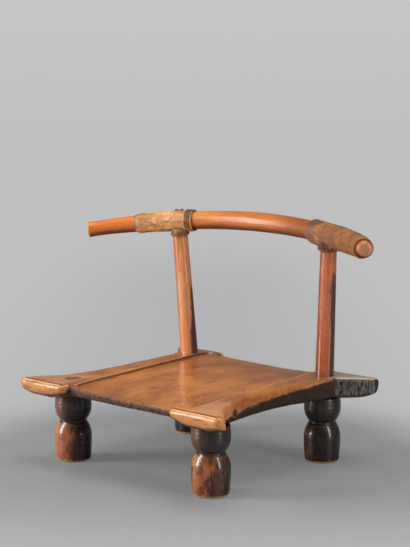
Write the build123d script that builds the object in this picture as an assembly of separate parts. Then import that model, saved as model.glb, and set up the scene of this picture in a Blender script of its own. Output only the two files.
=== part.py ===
from build123d import *
from math import cos, radians, sin, tan
import os

# Low carved hardwood chair: a horned seat board on four stub legs, two leaning posts and a bent branch back.
# Millimetres. The floor is z = 0, the front faces -Y, and the origin is on the floor under the seat's centre.
# The posts run down through the board into the back legs, and rawhide holds the branch to their heads.

# ---- Seat board, seen from above ----
seat_half_length = 207.0       # centre to the lip of a front or back horn
horn_length = 17.0             # from the panel's edge to a lip
waist_half_width = 176.0       # centre to the outer side of a rail, at its waist
flare_half_width = 189.0       # centre to the outer side, where a horn starts to flare
flare_start = 143.0            # centre to that place, front to back
flare_angle = 45.0             # how far a horn turns outwards from the rail
horn_inner_half_width = 125.0  # centre to the inner end of a horn's lip
horn_tip_radius = 11.0
horn_nose_radius = 12.0
horn_heel_radius = 4.0
flare_root_radius = 10.0

# ---- Seat board, heights above the floor ----
rail_top_front = 146.0
rail_top_back = 150.0
rail_bottom = 112.0
rail_bottom_middle = 115.0     # the underside is hollowed a little between the legs
horn_droop = 4.5               # the top falls this much from the rail to a horn's lip
horn_lift = 3.5                # the underside rises this much there
keel_x = 181.0                 # where a rail's rounded underside is lowest
keel_radius = 230.0
panel_bottom = 124.0
hollow_half_width = 118.0      # recess under the panel, between the rails
rim_radius_top = 7.0
rim_radius_bottom = 7.0

# ---- Dished seat surface between the two raised rails ----
dish_floor = 138.0             # height of its middle
dish_width = 266.0
dish_radius = 3000.0
dish_offset = 6.0
dish_skew = 6.0                # degrees; the hand-cut steps aren't parallel to the sides
dish_rise_back = 0.7           # degrees
dish_rise_left = 0.7           # degrees
dish_setback = 21.0            # it ends blind this far behind each lip
dish_mouth_half_width = 118.0  # and runs out open between them
dish_corner_radius = 12.0

# ---- Line incised behind each horn's lip ----
groove_width = 3.2
groove_depth = 2.2
groove_setback = 9.5
groove_inner_half_width = 136.0
groove_outer_half_width = 226.0

# ---- Legs ----
front_leg_x = 164.0
back_leg_x = 158.0
leg_y = 145.0
foot_radius = 29.5
foot_edge_radius = 2.0
body_radius = 32.0
body_height = 42.0
neck_radius = 23.5
neck_height = 69.5
neck_width = 3.0
bulb_radius = 32.0
bulb_height = 94.0
shoulder_radius = 30.0
shoulder_height = 118.0        # before it is fitted to the rail's underside
front_tenon_radius = 13.0
front_tenon_x = 155.0          # bored a little nearer the panel than the leg's own axis
front_tenon_y = 152.0
left_tenon_sink = 0.6          # the left one comes through, and its end lies just below the rail's top
right_tenon_sink = 16.0        # the right one is blind

# ---- Posts ----
post_foot_x = 162.0
post_foot_y = 145.0
post_head_x = 177.5
post_head_y = 134.0
post_foot_radius = 16.3
post_head_radius = 13.6
foot_tenon_radius = 11.0
foot_tenon_length = 58.0
head_tenon_radius = 7.0
head_tenon_reach = 6.0         # how far it passes the branch's centre line

# ---- Back rail: a bent branch, bowed in plan with a low arch ----
left_tip_x = 323.5
right_tip_x = 326.4
rail_tip_y = 37.0
rail_crown_y = 169.0
left_tip_height = 379.5
left_head_height = 399.0
crown_height = 404.0
right_head_height = 395.5
right_tip_height = 389.0
left_tip_radius = 14.6
left_head_radius = 16.6
crown_radius = 17.3
right_head_radius = 16.4
right_tip_radius = 14.4
rail_sections = 9
left_end_round = 2.5
right_end_round = 9.0

# ---- Rawhide sleeves, skirts and thongs; distances along the branch run from a post's head to the middle ----
hide_thickness = 1.6
left_sleeve_outer = -83.6
left_sleeve_inner = 30.9
right_sleeve_outer = -102.0
right_sleeve_inner = 45.0
skirt_length = 27.0            # the branch's centre line to the skirt's lower edge, along a post
skirt_wall = 1.8
left_skirt_flare = 1.0         # how much wider it is at the top; the right one is gathered loosely
right_skirt_flare = 6.5
thong_radius = 1.3
thong_turns = 3
thong_pitch = 4.2
knot_radius = 2.2              # a small tight loop of thicker thong
knot_thong_radius = 1.6
knot_stations = (-3.6, 6.4)
tail_setback = 8.0             # from the first turn of thong to the knotted tail
neck_thong_setback = 3.0       # up from the skirt's lower edge
stitch_arc = 40.0              # degrees of the sleeve's girth
stitch_lean = 38.0             # degrees from straight down towards the front, to a stitch's middle
stitch_stations = (-42.0, -34.0, 24.0, 29.5, 35.0, 40.5)

# ---- Clearances ----
fit_gap = 0.05                 # radial, round a driven tenon
hide_gap = 0.3                 # between hide or thong and what it goes round

ends = {"front": -1, "back": 1}
sides = {"left": -1, "right": 1}
reach = 600.0                  # longer than the board, for cutting tools


# ---- Seat board ----
def seat_plan():
    """Waisted outline with a flared horn at each corner."""
    panel_half_length = seat_half_length - horn_length
    corner_x = flare_half_width + (seat_half_length - flare_start) * tan(radians(flare_angle))
    half = make_face(
        [
            Polyline(
                (flare_half_width, -flare_start),
                (corner_x, -seat_half_length),
                (horn_inner_half_width, -seat_half_length),
                (horn_inner_half_width, -panel_half_length),
                (0, -panel_half_length),
                (0, panel_half_length),
                (horn_inner_half_width, panel_half_length),
                (horn_inner_half_width, seat_half_length),
                (corner_x, seat_half_length),
                (flare_half_width, flare_start),
            ),
            ThreePointArc(
                (flare_half_width, flare_start), (waist_half_width, 0), (flare_half_width, -flare_start)
            ),
        ]
    )
    for x, y, radius in (
        (corner_x, seat_half_length, horn_tip_radius),
        (horn_inner_half_width, seat_half_length, horn_nose_radius),
        (horn_inner_half_width, panel_half_length, horn_heel_radius),
        (flare_half_width, flare_start, flare_root_radius),
    ):
        corners = [v for v in half.vertices() if abs(v.X - x) < 0.1 and abs(abs(v.Y) - y) < 0.1]
        half = fillet(corners, radius)
    return half + mirror(half, Plane.YZ)


def seat_profile():
    """Side view of a rail: its top falls and its underside rises towards each horn."""
    end, flat, middle = seat_half_length, flare_start, (seat_half_length + flare_start) / 2
    return make_face(
        [
            ThreePointArc(
                (-end, rail_top_front - horn_droop),
                (-middle, rail_top_front - horn_droop / 4),
                (-flat, rail_top_front),
            ),
            Line((-flat, rail_top_front), (flat, rail_top_back)),
            ThreePointArc(
                (flat, rail_top_back),
                (middle, rail_top_back - horn_droop / 4),
                (end, rail_top_back - horn_droop),
            ),
            Line((end, rail_top_back - horn_droop), (end, rail_bottom + horn_lift)),
            ThreePointArc(
                (end, rail_bottom + horn_lift), (middle, rail_bottom + horn_lift / 4), (flat, rail_bottom)
            ),
            ThreePointArc((flat, rail_bottom), (0, rail_bottom_middle), (-flat, rail_bottom)),
            ThreePointArc(
                (-flat, rail_bottom), (-middle, rail_bottom + horn_lift / 4), (-end, rail_bottom + horn_lift)
            ),
            Line((-end, rail_bottom + horn_lift), (-end, rail_top_front - horn_droop)),
        ]
    )


def rail_top(y):
    """Height of the rails' sloping top at a distance from the centre, within the flat stretch."""
    middle = (rail_top_front + rail_top_back) / 2
    return middle + (rail_top_back - rail_top_front) * y / (2 * flare_start)


def rail_top_plane(y):
    """The rails' top as a plane, with its origin over the chair's centre line."""
    slope = (rail_top_back - rail_top_front) / (2 * flare_start)
    return Plane(origin=(0, y, rail_top(y)), x_dir=(1, 0, 0), z_dir=(0, -slope, 1))


def rim(board, upper):
    """Edges round the board's top or underside, leaving out the creases that cross it."""
    middle = (rail_bottom + dish_floor) / 2
    edges = [edge for edge in board.edges() if (edge.center().Z > middle) == upper]
    level = 2 * (rail_top_back - rail_top_front)
    boxes = [edge.bounding_box().size for edge in edges]
    return [edge for edge, box in zip(edges, boxes) if box.Z < level and box.X < flare_half_width]


def dish_tool():
    """The wood cut away above the panel: a shallow trough between two steps, blind at the horns."""
    dish_half_length = seat_half_length - dish_setback
    field = Rectangle(reach, 2 * dish_half_length) + Rectangle(2 * dish_mouth_half_width, reach)
    slot = extrude(field & Pos(dish_offset, 0) * Rot(0, 0, dish_skew) * Rectangle(dish_width, reach), reach / 2)
    corners = [
        edge
        for edge in slot.edges().filter_by(Axis.Z)
        if abs(abs(edge.center().Y) - dish_half_length) < 0.1
        and abs(edge.center().X) > dish_mouth_half_width + dish_corner_radius
    ]
    slot = fillet(corners, dish_corner_radius)
    trough = Pos(0, 0, dish_radius) * Rot(90, 0, 0) * Cylinder(dish_radius, reach)
    lean = Rot(dish_rise_back, dish_rise_left, dish_skew)
    return slot & Pos(dish_offset, 0, dish_floor) * lean * trough


def lip_groove(side, end):
    """A V cut along the top of one horn, behind its lip."""
    vee = make_face(
        Polyline((-groove_width / 2, groove_depth), (0, -groove_depth), (groove_width / 2, groove_depth), close=True)
    )
    bar = extrude(Plane.YZ * vee, groove_outer_half_width - groove_inner_half_width)
    start = groove_inner_half_width if side > 0 else -groove_outer_half_width
    from_flare = (seat_half_length - groove_setback - flare_start) / (seat_half_length - flare_start)
    height = rail_top(end * flare_start) - horn_droop * from_flare**2
    return Pos(start, end * (seat_half_length - groove_setback), height) * bar


def keel_cut(side):
    """What is cut from under a rail to round it: nothing near its outer side, most at the horns' noses and tips."""
    drum = Pos(side * keel_x, 0, rail_bottom + keel_radius) * Rot(90, 0, 0) * Cylinder(keel_radius, reach)
    slab = Box(reach, reach, 2 * (panel_bottom - rail_bottom))
    return Pos(side * (hollow_half_width + reach / 2), 0, rail_bottom) * slab - drum


def rail_block():
    """The side profile carried right across the chair."""
    return extrude(Plane.YZ * seat_profile(), reach / 2, both=True)


def seat():
    board = extrude(seat_plan(), reach, dir=(0, 0, 1)) & rail_block()
    board = fillet(rim(board, upper=True), rim_radius_top)
    board = fillet(rim(board, upper=False), rim_radius_bottom)
    board -= dish_tool()
    board -= Pos(0, 0, panel_bottom - reach / 2) * Box(2 * hollow_half_width, reach, reach)
    for side in sides.values():
        board -= keel_cut(side)
        for end in ends.values():
            board -= lip_groove(side, end)
        board -= front_peg(side, front_tenon_radius + fit_gap, horn_droop if side < 0 else fit_gap)
        board -= post_tenon(side, foot_tenon_radius + fit_gap, -foot_tenon_length, foot_tenon_length)
    return board


# ---- Legs ----
def leg(side, x, y):
    """One turned leg: barrel body, sharp neck and round bulb, its shoulder fitted under the rail."""
    neck_low = (neck_radius, neck_height - neck_width / 2)
    neck_high = (neck_radius, neck_height + neck_width / 2)
    shoulder = (shoulder_radius, shoulder_height)
    profile = make_face(
        [
            Line((0, 0), (foot_radius - foot_edge_radius, 0)),
            Line((foot_radius - foot_edge_radius, 0), (foot_radius, foot_edge_radius)),
            TangentArc((body_radius, body_height), (foot_radius, foot_edge_radius), tangent=(0, -1)),
            TangentArc((body_radius, body_height), neck_low, tangent=(0, 1)),
            Line(neck_low, neck_high),
            TangentArc((bulb_radius, bulb_height), neck_high, tangent=(0, -1)),
            TangentArc((bulb_radius, bulb_height), shoulder, tangent=(0, 1)),
            Line(shoulder, (0, shoulder_height)),
            Line((0, shoulder_height), (0, 0)),
        ]
    )
    turned = Pos(side * x, y) * revolve(Plane.XZ * profile, Axis.Z)
    return turned - Pos(0, 0, -fit_gap) * (rail_block() - keel_cut(side))


def front_peg(side, radius, past=0.0):
    """A front leg's tenon, or the hole for it, which goes past the tenon's end."""
    sink = left_tenon_sink if side < 0 else right_tenon_sink
    root = rail_bottom - front_tenon_radius
    height = rail_top(-front_tenon_y) - sink - root
    return Pos(side * front_tenon_x, -front_tenon_y, root) * extrude(Circle(radius), height + past)


def front_leg(side):
    return leg(side, front_leg_x, -leg_y) + front_peg(side, front_tenon_radius)


def back_leg(side):
    """A leg with a socket in its head, where the post's foot ends."""
    low, high = -foot_tenon_length - fit_gap, foot_tenon_length
    return leg(side, back_leg_x, leg_y) - post_tenon(side, foot_tenon_radius + fit_gap, low, high)


# ---- Posts ----
def post_head(side):
    """Where the branch's centre line passes over a post."""
    return Vector(side * post_head_x, post_head_y, left_head_height if side < 0 else right_head_height)


def post_plane(side):
    """At a post's foot on the rail's top, with Z up along the leaning post."""
    foot = Vector(side * post_foot_x, post_foot_y, rail_top(post_foot_y))
    head = post_head(side)
    return Plane(origin=foot, x_dir=(1, 0, 0), z_dir=head - foot), (head - foot).length


def post_tenon(side, radius, low, high):
    """A round bar on the post's axis, between two distances from its foot."""
    plane, _ = post_plane(side)
    return plane * Pos(0, 0, low) * extrude(Circle(radius), high - low)


def post_shaft(side, grow=0.0):
    """The tapering shaft, past both its ends."""
    plane, length = post_plane(side)
    taper = (post_foot_radius - post_head_radius) / length
    below = post_foot_radius
    sections = [
        plane * Pos(0, 0, -below) * Circle(post_foot_radius + taper * below + grow),
        plane * Pos(0, 0, length) * Circle(post_head_radius + grow),
    ]
    return loft(sections)


def post(side):
    """Shaft cut level on the seat and coped under the branch, with a tenon at each end."""
    _, length = post_plane(side)
    shaft = split(post_shaft(side), bisect_by=rail_top_plane(0), keep=Keep.TOP) - limb(hide_gap)
    foot_tenon = post_tenon(side, foot_tenon_radius, -foot_tenon_length, foot_tenon_length / 2)
    head_tenon = post_tenon(side, head_tenon_radius, length - 2 * crown_radius, length + head_tenon_reach)
    return shaft + foot_tenon + head_tenon


# ---- Back rail ----
def rail_path():
    return Spline(
        (-left_tip_x, rail_tip_y, left_tip_height),
        post_head(sides["left"]),
        (0, rail_crown_y, crown_height),
        post_head(sides["right"]),
        (right_tip_x, rail_tip_y, right_tip_height),
    )


def rail_radius(share):
    """Radius of the branch at a share of its length from the left tip."""
    radii = (left_tip_radius, left_head_radius, crown_radius, right_head_radius, right_tip_radius)
    place = share * (len(radii) - 1)
    index = min(int(place), len(radii) - 2)
    return radii[index] + (radii[index + 1] - radii[index]) * (place - index)


def limb(grow=0.0):
    """The branch as a smooth loft of round sections, or the same branch grown outwards."""
    path = rail_path()
    shares = [index / (rail_sections - 1) for index in range(rail_sections)]
    return loft([Plane(path @ t, z_dir=path % t) * Circle(rail_radius(t) + grow) for t in shares])


def station(side, distance):
    """The share of the branch's length, and its cross plane, at a distance from a post's head to the middle."""
    path = rail_path()
    share = path.param_at_point(post_head(side)) - side * distance / path.length
    return share, Plane(path @ share, x_dir=(0, 0, 1), z_dir=path % share)


def back_rail():
    branch = limb()
    flats = branch.faces().filter_by(GeomType.PLANE).sort_by(Axis.X)
    branch = fillet(flats[0].edges(), left_end_round)
    flats = branch.faces().filter_by(GeomType.PLANE).sort_by(Axis.X)
    branch = fillet(flats[-1].edges(), right_end_round)
    for side in sides.values():
        _, length = post_plane(side)
        branch -= post_tenon(
            side, head_tenon_radius + fit_gap, length - 2 * crown_radius, length + head_tenon_reach + fit_gap
        )
    return branch


# ---- Rawhide ----
def sleeve(side, outer, inner):
    """Hide shrunk round the branch, open underneath where the post comes up."""
    tube = limb(hide_gap + hide_thickness) - limb(hide_gap)
    outer_end, inner_end = station(side, outer)[1], station(side, inner)[1]
    towards_middle = Keep.TOP if side < 0 else Keep.BOTTOM
    towards_tip = Keep.BOTTOM if side < 0 else Keep.TOP
    tube = split(tube, bisect_by=outer_end, keep=towards_middle)
    tube = split(tube, bisect_by=inner_end, keep=towards_tip)
    return tube - post_shaft(side, hide_gap)


def skirt_flare(side):
    return left_skirt_flare if side < 0 else right_skirt_flare


def skirt(side):
    """The sleeve's lower edge, drawn in round the head of the post."""
    plane, length = post_plane(side)
    inner = post_head_radius + hide_gap
    lower = plane * Pos(0, 0, length - skirt_length) * Circle(inner + skirt_wall)
    upper = plane * Pos(0, 0, length) * Circle(inner + skirt_wall + skirt_flare(side))
    cloth = loft([lower, upper]) - post_shaft(side, hide_gap) - limb(2 * hide_gap + hide_thickness)
    return cloth.solids().sort_by(Axis.Z)[0]


def ring(plane, radius):
    """One closed turn of thong."""
    return plane * Torus(radius + thong_radius, thong_radius)


def thong_start():
    """Where the first turn round the branch clears the left skirt, however the branch meets the post."""
    side = sides["left"]
    plane, _ = post_plane(side)
    share, across = station(side, 0)
    lean = plane.z_dir.get_angle(across.z_dir)
    skirt_radius = post_head_radius + hide_gap + skirt_wall + left_skirt_flare
    drop = rail_radius(share) + hide_thickness + 2 * hide_gap + thong_radius
    return (skirt_radius + hide_gap + thong_radius - drop * cos(radians(lean))) / sin(radians(lean))


def thong_wrap():
    """Turns of thong round the left sleeve's inner end."""
    turns = []
    for index in range(thong_turns):
        share, plane = station(sides["left"], thong_start() + index * thong_pitch)
        turns.append(ring(plane, rail_radius(share) + hide_thickness + 2 * hide_gap))
    return Compound(children=turns)


def neck_thong(side):
    """One turn of thong that ties the skirt to the post."""
    plane, length = post_plane(side)
    share = (neck_thong_setback + thong_radius) / skirt_length
    radius = post_head_radius + skirt_wall + skirt_flare(side) * share + 2 * hide_gap
    return ring(plane * Pos(0, 0, length - skirt_length + neck_thong_setback), radius)


def knot(distance, turn, depth):
    """A tight loop lying on the left sleeve, at an angle from its top, above whatever is under it."""
    share, plane = station(sides["left"], distance)
    height = rail_radius(share) + depth + knot_thong_radius
    return plane * Rot(0, 0, turn) * Pos(height, 0, 0) * Rot(0, 90, 0) * Torus(knot_radius, knot_thong_radius)


def knots():
    """Two knots on top of the left sleeve, and the thong's tail knotted under its turns."""
    over_hide = hide_thickness + 2 * hide_gap
    over_turns = over_hide + 2 * thong_radius + hide_gap
    loops = [knot(distance, 0, over_hide) for distance in knot_stations]
    return Compound(children=loops + [knot(thong_start() + tail_setback, 180, over_turns)])


def stitches():
    """Short loops of thong across the seam along the right sleeve's lower side."""
    loops = []
    for distance in stitch_stations:
        share, plane = station(sides["right"], distance)
        radius = rail_radius(share) + hide_thickness + 2 * hide_gap + thong_radius
        start = 180 - stitch_lean - stitch_arc / 2
        bar = plane * Rot(0, 0, start) * Pos(radius, 0, 0) * Rot(90, 0, 0) * Circle(thong_radius)
        loops.append(revolve(bar, Axis(plane.origin, plane.z_dir), stitch_arc))
    return Compound(children=loops)


def nodes():
    """Every piece by name."""
    pieces = {"seat": seat(), "back_rail": back_rail()}
    for name, side in sides.items():
        pieces[f"front_{name}_leg"] = front_leg(side)
        pieces[f"back_{name}_leg"] = back_leg(side)
        pieces[f"{name}_post"] = post(side)
        pieces[f"{name}_skirt"] = skirt(side)
        pieces[f"{name}_neck_thong"] = neck_thong(side)
    left, right = sides["left"], sides["right"]
    pieces["left_sleeve"] = sleeve(left, left_sleeve_outer, left_sleeve_inner)
    pieces["right_sleeve"] = sleeve(right, right_sleeve_outer, right_sleeve_inner)
    pieces["left_thong_wrap"] = thong_wrap()
    pieces["left_thong_knots"] = knots()
    pieces["right_seam_stitches"] = stitches()
    return pieces


if __name__ == "__main__":
    os.makedirs("parts", exist_ok=True)
    for node, solid in nodes().items():
        export_step(solid, f"parts/{node}.step")
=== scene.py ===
from math import atan2, cos, pi, radians, sin, sqrt

import bpy
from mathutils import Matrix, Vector, noise
from mathutils.bvhtree import BVHTree


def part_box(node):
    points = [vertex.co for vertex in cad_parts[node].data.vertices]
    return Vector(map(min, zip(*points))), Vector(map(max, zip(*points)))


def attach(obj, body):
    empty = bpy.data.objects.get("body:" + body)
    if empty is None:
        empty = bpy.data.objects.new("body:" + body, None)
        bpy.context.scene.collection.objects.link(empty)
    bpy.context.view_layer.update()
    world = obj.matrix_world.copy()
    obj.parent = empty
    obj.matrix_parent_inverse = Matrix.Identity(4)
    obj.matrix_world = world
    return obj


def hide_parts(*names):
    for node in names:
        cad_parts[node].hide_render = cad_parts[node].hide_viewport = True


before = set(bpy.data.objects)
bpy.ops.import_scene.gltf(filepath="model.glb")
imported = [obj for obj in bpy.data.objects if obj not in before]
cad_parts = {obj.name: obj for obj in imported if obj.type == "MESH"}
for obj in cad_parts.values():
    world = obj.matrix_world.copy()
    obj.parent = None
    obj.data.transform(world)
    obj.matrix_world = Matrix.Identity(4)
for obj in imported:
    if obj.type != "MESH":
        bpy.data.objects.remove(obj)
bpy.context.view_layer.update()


# ---- Camera ----
# A long portrait lens a little above the chair's back, turned towards its front right corner.
# It stands far off, so that the chair's upright lines stay nearly upright.
camera_place = Vector((1.6469, -1.7364, 0.6209))
camera_aim = Vector((-0.0044, 0.0203, 0.3245))
frame_height = 36.0
lens_length = 92.36

bpy.ops.object.camera_add(location=camera_place)
camera = bpy.context.object
camera.rotation_euler = (camera_aim - camera_place).to_track_quat("-Z", "Y").to_euler()
camera.data.sensor_fit = "VERTICAL"
camera.data.sensor_height = frame_height
camera.data.lens = lens_length
bpy.context.scene.camera = camera
bpy.context.scene.view_settings.view_transform = "Standard"


# ---- Floor and backdrop ----
# A plain grey studio floor, lighter towards the viewer, that pales into the backdrop's own grey all round.
def shade(red, green, blue):
    """A colour written in ordinary 0 to 255 values, as the shaders want it."""
    levels = (red / 255, green / 255, blue / 255)
    return tuple(((c + 0.055) / 1.055) ** 2.4 if c > 0.04 else c / 12.92 for c in levels) + (1,)


def put(tree, kind, inputs=(), **settings):
    """A node with its settings, and its inputs given as values or as other nodes' outputs."""
    made = tree.nodes.new("ShaderNode" + kind)
    for name, value in settings.items():
        setattr(made, name, value)
    for name, value in dict(inputs).items():
        if isinstance(value, bpy.types.NodeSocket):
            tree.links.new(value, made.inputs[name])
        else:
            made.inputs[name].default_value = value
    return made


def fade(value, start, end, low=0.0, high=1.0):
    """low where value is at start, high where it is at end, and a smooth change between."""
    inputs = {"Value": value, "From Min": start, "From Max": end, "To Min": low, "To Max": high}
    return put(value.id_data, "MapRange", inputs, interpolation_type="SMOOTHSTEP").outputs["Result"]


def maths(operation, first, second=0.0, third=0.0):
    """The result of one Math node, in the tree that the first node output among its values belongs to."""
    values = (first, second, third)
    tree = next(value.id_data for value in values if isinstance(value, bpy.types.NodeSocket))
    return put(tree, "Math", {0: first, 1: second, 2: third}, operation=operation).outputs[0]


def product(*shares):
    """Several masks multiplied together."""
    result = shares[0]
    for share in shares[1:]:
        result = maths("MULTIPLY", result, share)
    return result


def blend(share, first, second):
    """The first colour where share is 0 and the second where it is 1."""
    return put(share.id_data, "Mix", {"Factor": share, 6: first, 7: second}, data_type="RGBA").outputs[2]


def cover(colour, coat, *shares):
    """A colour with another laid over it, as thick as all the shares multiplied together."""
    return blend(product(*shares), colour, coat)


def mottle(place, scale, detail=5.0, rough_share=0.6, stretch=(1, 1, 1)):
    """Noise from about 0.3 to 0.7, finer along an axis whose stretch is larger."""
    tree = place.id_data
    stretched = put(tree, "VectorMath", {0: place, 1: stretch}, operation="MULTIPLY").outputs[0]
    inputs = {"Vector": stretched, "Scale": scale, "Detail": detail, "Roughness": rough_share}
    return put(tree, "TexNoise", inputs).outputs["Fac"]


def reach(place, way):
    """How far a place lies along a direction."""
    return put(place.id_data, "VectorMath", {0: place, 1: way}, operation="DOT_PRODUCT").outputs["Value"]


def bare_material(name):
    """An empty material, its node tree and the place of each point of its piece."""
    made = bpy.data.materials.new(name)
    made.use_nodes = True
    made.node_tree.nodes.clear()
    return made, made.node_tree, put(made.node_tree, "TexCoord").outputs["Object"]


floor_half_width = 6.0
floor_colour = shade(133, 134, 135)
floor_pale = shade(168, 169, 170)
backdrop_colour = shade(191, 191, 192)
backdrop_top = shade(199, 199, 200)
backdrop_in_shade = shade(179, 180, 181)
towards_camera = (camera_place - camera_aim).normalized()
across_floor = towards_camera.cross(Vector((0, 0, 1))).normalized()
fade_start = 0.26
fade_end = 0.62
shadow_fill = 0.25             # the share of backdrop colour that lifts the shadows on the floor

bpy.ops.mesh.primitive_plane_add(size=2 * floor_half_width, location=(0, 0, 0))
floor = bpy.context.object
floor.name = "studio_floor"
floor_paint, tree, place = bare_material("floor_paint")
distance = put(tree, "VectorMath", {0: place}, operation="LENGTH").outputs["Value"]
nearer = reach(place, towards_camera)
smudges = mottle(place, 9.0)
# The floor is painted paler towards the viewer: painted light falloff.
grey = blend(fade(nearer, 0.10, 0.60), floor_colour, floor_pale)
grey = cover(grey, shade(160, 160, 160), fade(smudges, 0.40, 0.70, 0.0, 0.20))
specks = fade(mottle(place, 160.0, detail=1.0), 0.70, 0.74)
grey = cover(grey, shade(205, 205, 205), specks, 0.5)
painted = put(tree, "BsdfPrincipled", {"Base Color": grey, "Roughness": 0.5, "Specular IOR Level": 0.3})

# Away from the chair the camera sees the floor turn into the backdrop's grey, and near it the chair's shadow.
sideways = maths("ABSOLUTE", reach(place, across_floor))
# Through the middle of the view the backdrop's grey is painted darker: painted shade behind the chair.
darker = product(fade(sideways, 0.65, 0.10), fade(nearer, -4.5, -2.0))
far_grey = blend(darker, backdrop_colour, backdrop_in_shade)
glow = put(tree, "Emission", {"Color": far_grey, "Strength": 1.0})
by_camera = put(tree, "LightPath").outputs["Is Camera Ray"]
far = fade(distance, fade_start, fade_end)
beyond = fade(nearer, 0.16, -0.12)
in_front = fade(nearer, 0.28, 0.62, shadow_fill, 0.75)
pale = product(far, maths("MULTIPLY_ADD", beyond, 0.55, 0.45))
pale = maths("MAXIMUM", maths("MAXIMUM", pale, in_front), fade(distance, 1.1, 2.4))
pale = product(pale, by_camera)
joined = put(tree, "MixShader", {0: pale, 1: painted.outputs[0], 2: glow.outputs[0]})
put(tree, "OutputMaterial", {"Surface": joined.outputs[0]})
floor.data.materials.append(floor_paint)


# ---- Studio light ----
# A broad softbox from the front left, a slim one from the right and one overhead, in an even grey room.
# Polished wood reflects that room dimly, so that it stays dark between its highlights.
room_colour = shade(206, 204, 202)
room_strength = 0.50
reflected_strength = 0.22


def parts(vector):
    """A vector's X, Y and Z."""
    return put(vector.id_data, "SeparateXYZ", {0: vector}).outputs


world = bpy.data.worlds.new("grey_room")
bpy.context.scene.world = world
world.use_nodes = True
world.node_tree.nodes.clear()
tree = world.node_tree
by_glossy = put(tree, "LightPath").outputs["Is Glossy Ray"]
level = maths("MULTIPLY_ADD", by_glossy, reflected_strength - room_strength, room_strength)
room = put(tree, "Background", {"Color": room_colour, "Strength": level})
rise = parts(put(tree, "TexCoord").outputs["Object"])["Z"]
backdrop = blend(fade(rise, -0.06, 0.10), backdrop_colour, backdrop_top)
seen = put(tree, "Background", {"Color": backdrop, "Strength": 1.0})
by_camera = put(tree, "LightPath").outputs["Is Camera Ray"]
either = put(tree, "MixShader", {0: by_camera, 1: room.outputs[0], 2: seen.outputs[0]})
put(tree, "OutputWorld", {"Surface": either.outputs[0]})


def softbox(name, place, aim, width, height, watts):
    """A rectangular lamp at a place, turned towards a point on the chair."""
    bpy.ops.object.light_add(type="AREA", location=place)
    lamp = bpy.context.object
    lamp.name = name
    lamp.rotation_euler = (Vector(aim) - Vector(place)).to_track_quat("-Z", "Y").to_euler()
    lamp.data.shape = "RECTANGLE"
    lamp.data.size = width
    lamp.data.size_y = height
    lamp.data.energy = watts


softbox("key_light", (-1.6, -1.8, 1.05), (0, 0, 0.35), 0.7, 2.0, 66)
softbox("side_light", (2.3, 0.1, 0.95), (0, 0, 0.3), 0.35, 1.8, 21)
softbox("top_light", (0.1, 0.2, 2.4), (0, 0, 0.1), 1.4, 1.4, 26)


# ---- Seat board ----
# One thick board of dense red-brown hardwood, adzed out to a dish between two raised rails and polished by
# use. Its lips are rounded under like a boat's bow, and its back horns' flared ends show open end grain.
merge_gap = 0.00002            # corners of a CAD mesh that lie closer than this are one
seat_grid = 0.0017
seat_faces_kept = 0.42
lip_start = 0.178              # distance from the middle at which a horn starts to round over
lip_end = 0.207
lip_full = lip_end - 0.006     # where it is rounded under all the way
horn_start = lip_start - 0.012
horn_end = lip_end - 0.010
lip_tuck = 0.013               # how far a lip's lower edge lies behind its upper one
lip_low = 0.1150
lip_high = 0.1400
nose_x = 0.125                 # a horn's inner end, which is pared thin
nose_edge = nose_x - 0.008
nose_length = 0.044
nose_share = 0.40              # the share of the thickness that is pared away there
tip_start = 0.205              # a horn's outer end, which is pared a little
tip_end = 0.238
tip_high = lip_high - 0.004
tip_share = 0.22
adze_depth = 0.0007
adze_spacing = 0.055
adze_drift = 0.0009            # how far the adze's marks wander along the board
drift_spacing = 0.05
edge_kept = 0.00005            # how far inside the plain board's ends the carved one stays


def select_only(piece):
    """Selects one piece and makes it the active one."""
    bpy.ops.object.select_all(action="DESELECT")
    piece.select_set(True)
    bpy.context.view_layer.objects.active = piece


def apply_modifier(piece, name, kind, **settings):
    """Adds a modifier with its settings and applies it."""
    added = piece.modifiers.new(name, kind)
    for setting, value in settings.items():
        setattr(added, setting, value)
    select_only(piece)
    bpy.ops.object.modifier_apply(modifier=added.name)


def edit_whole(piece, operator, **settings):
    """Runs an edit mode operator on all of a piece."""
    select_only(piece)
    bpy.ops.object.mode_set(mode="EDIT")
    bpy.ops.mesh.select_all(action="SELECT")
    operator(**settings)
    bpy.ops.object.mode_set(mode="OBJECT")


def merged_copy(node, name):
    """A piece that starts as a CAD node's mesh with its doubles merged."""
    piece = bpy.data.objects.new(name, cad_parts[node].data.copy())
    bpy.context.scene.collection.objects.link(piece)
    edit_whole(piece, bpy.ops.mesh.remove_doubles, threshold=merge_gap)
    piece.data.materials.clear()
    return piece


def step(value, start, end):
    """0 at start, 1 at end, smooth between, for a number."""
    share = min(max((value - start) / (end - start), 0.0), 1.0)
    return share * share * (3 - 2 * share)


def unevenness(place, spacing, octaves=3):
    """A number from about -1 to 1 that wanders over a surface, with features this far apart."""
    return noise.fractal(place / spacing, 1.0, 2.0, octaves)


def finish_piece(piece, material, slot, *nodes):
    """Smooth shading, its material and its place in the chair."""
    select_only(piece)
    bpy.ops.object.shade_smooth()
    piece.data.materials.append(material)
    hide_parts(*nodes)
    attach(piece, "root")


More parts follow.
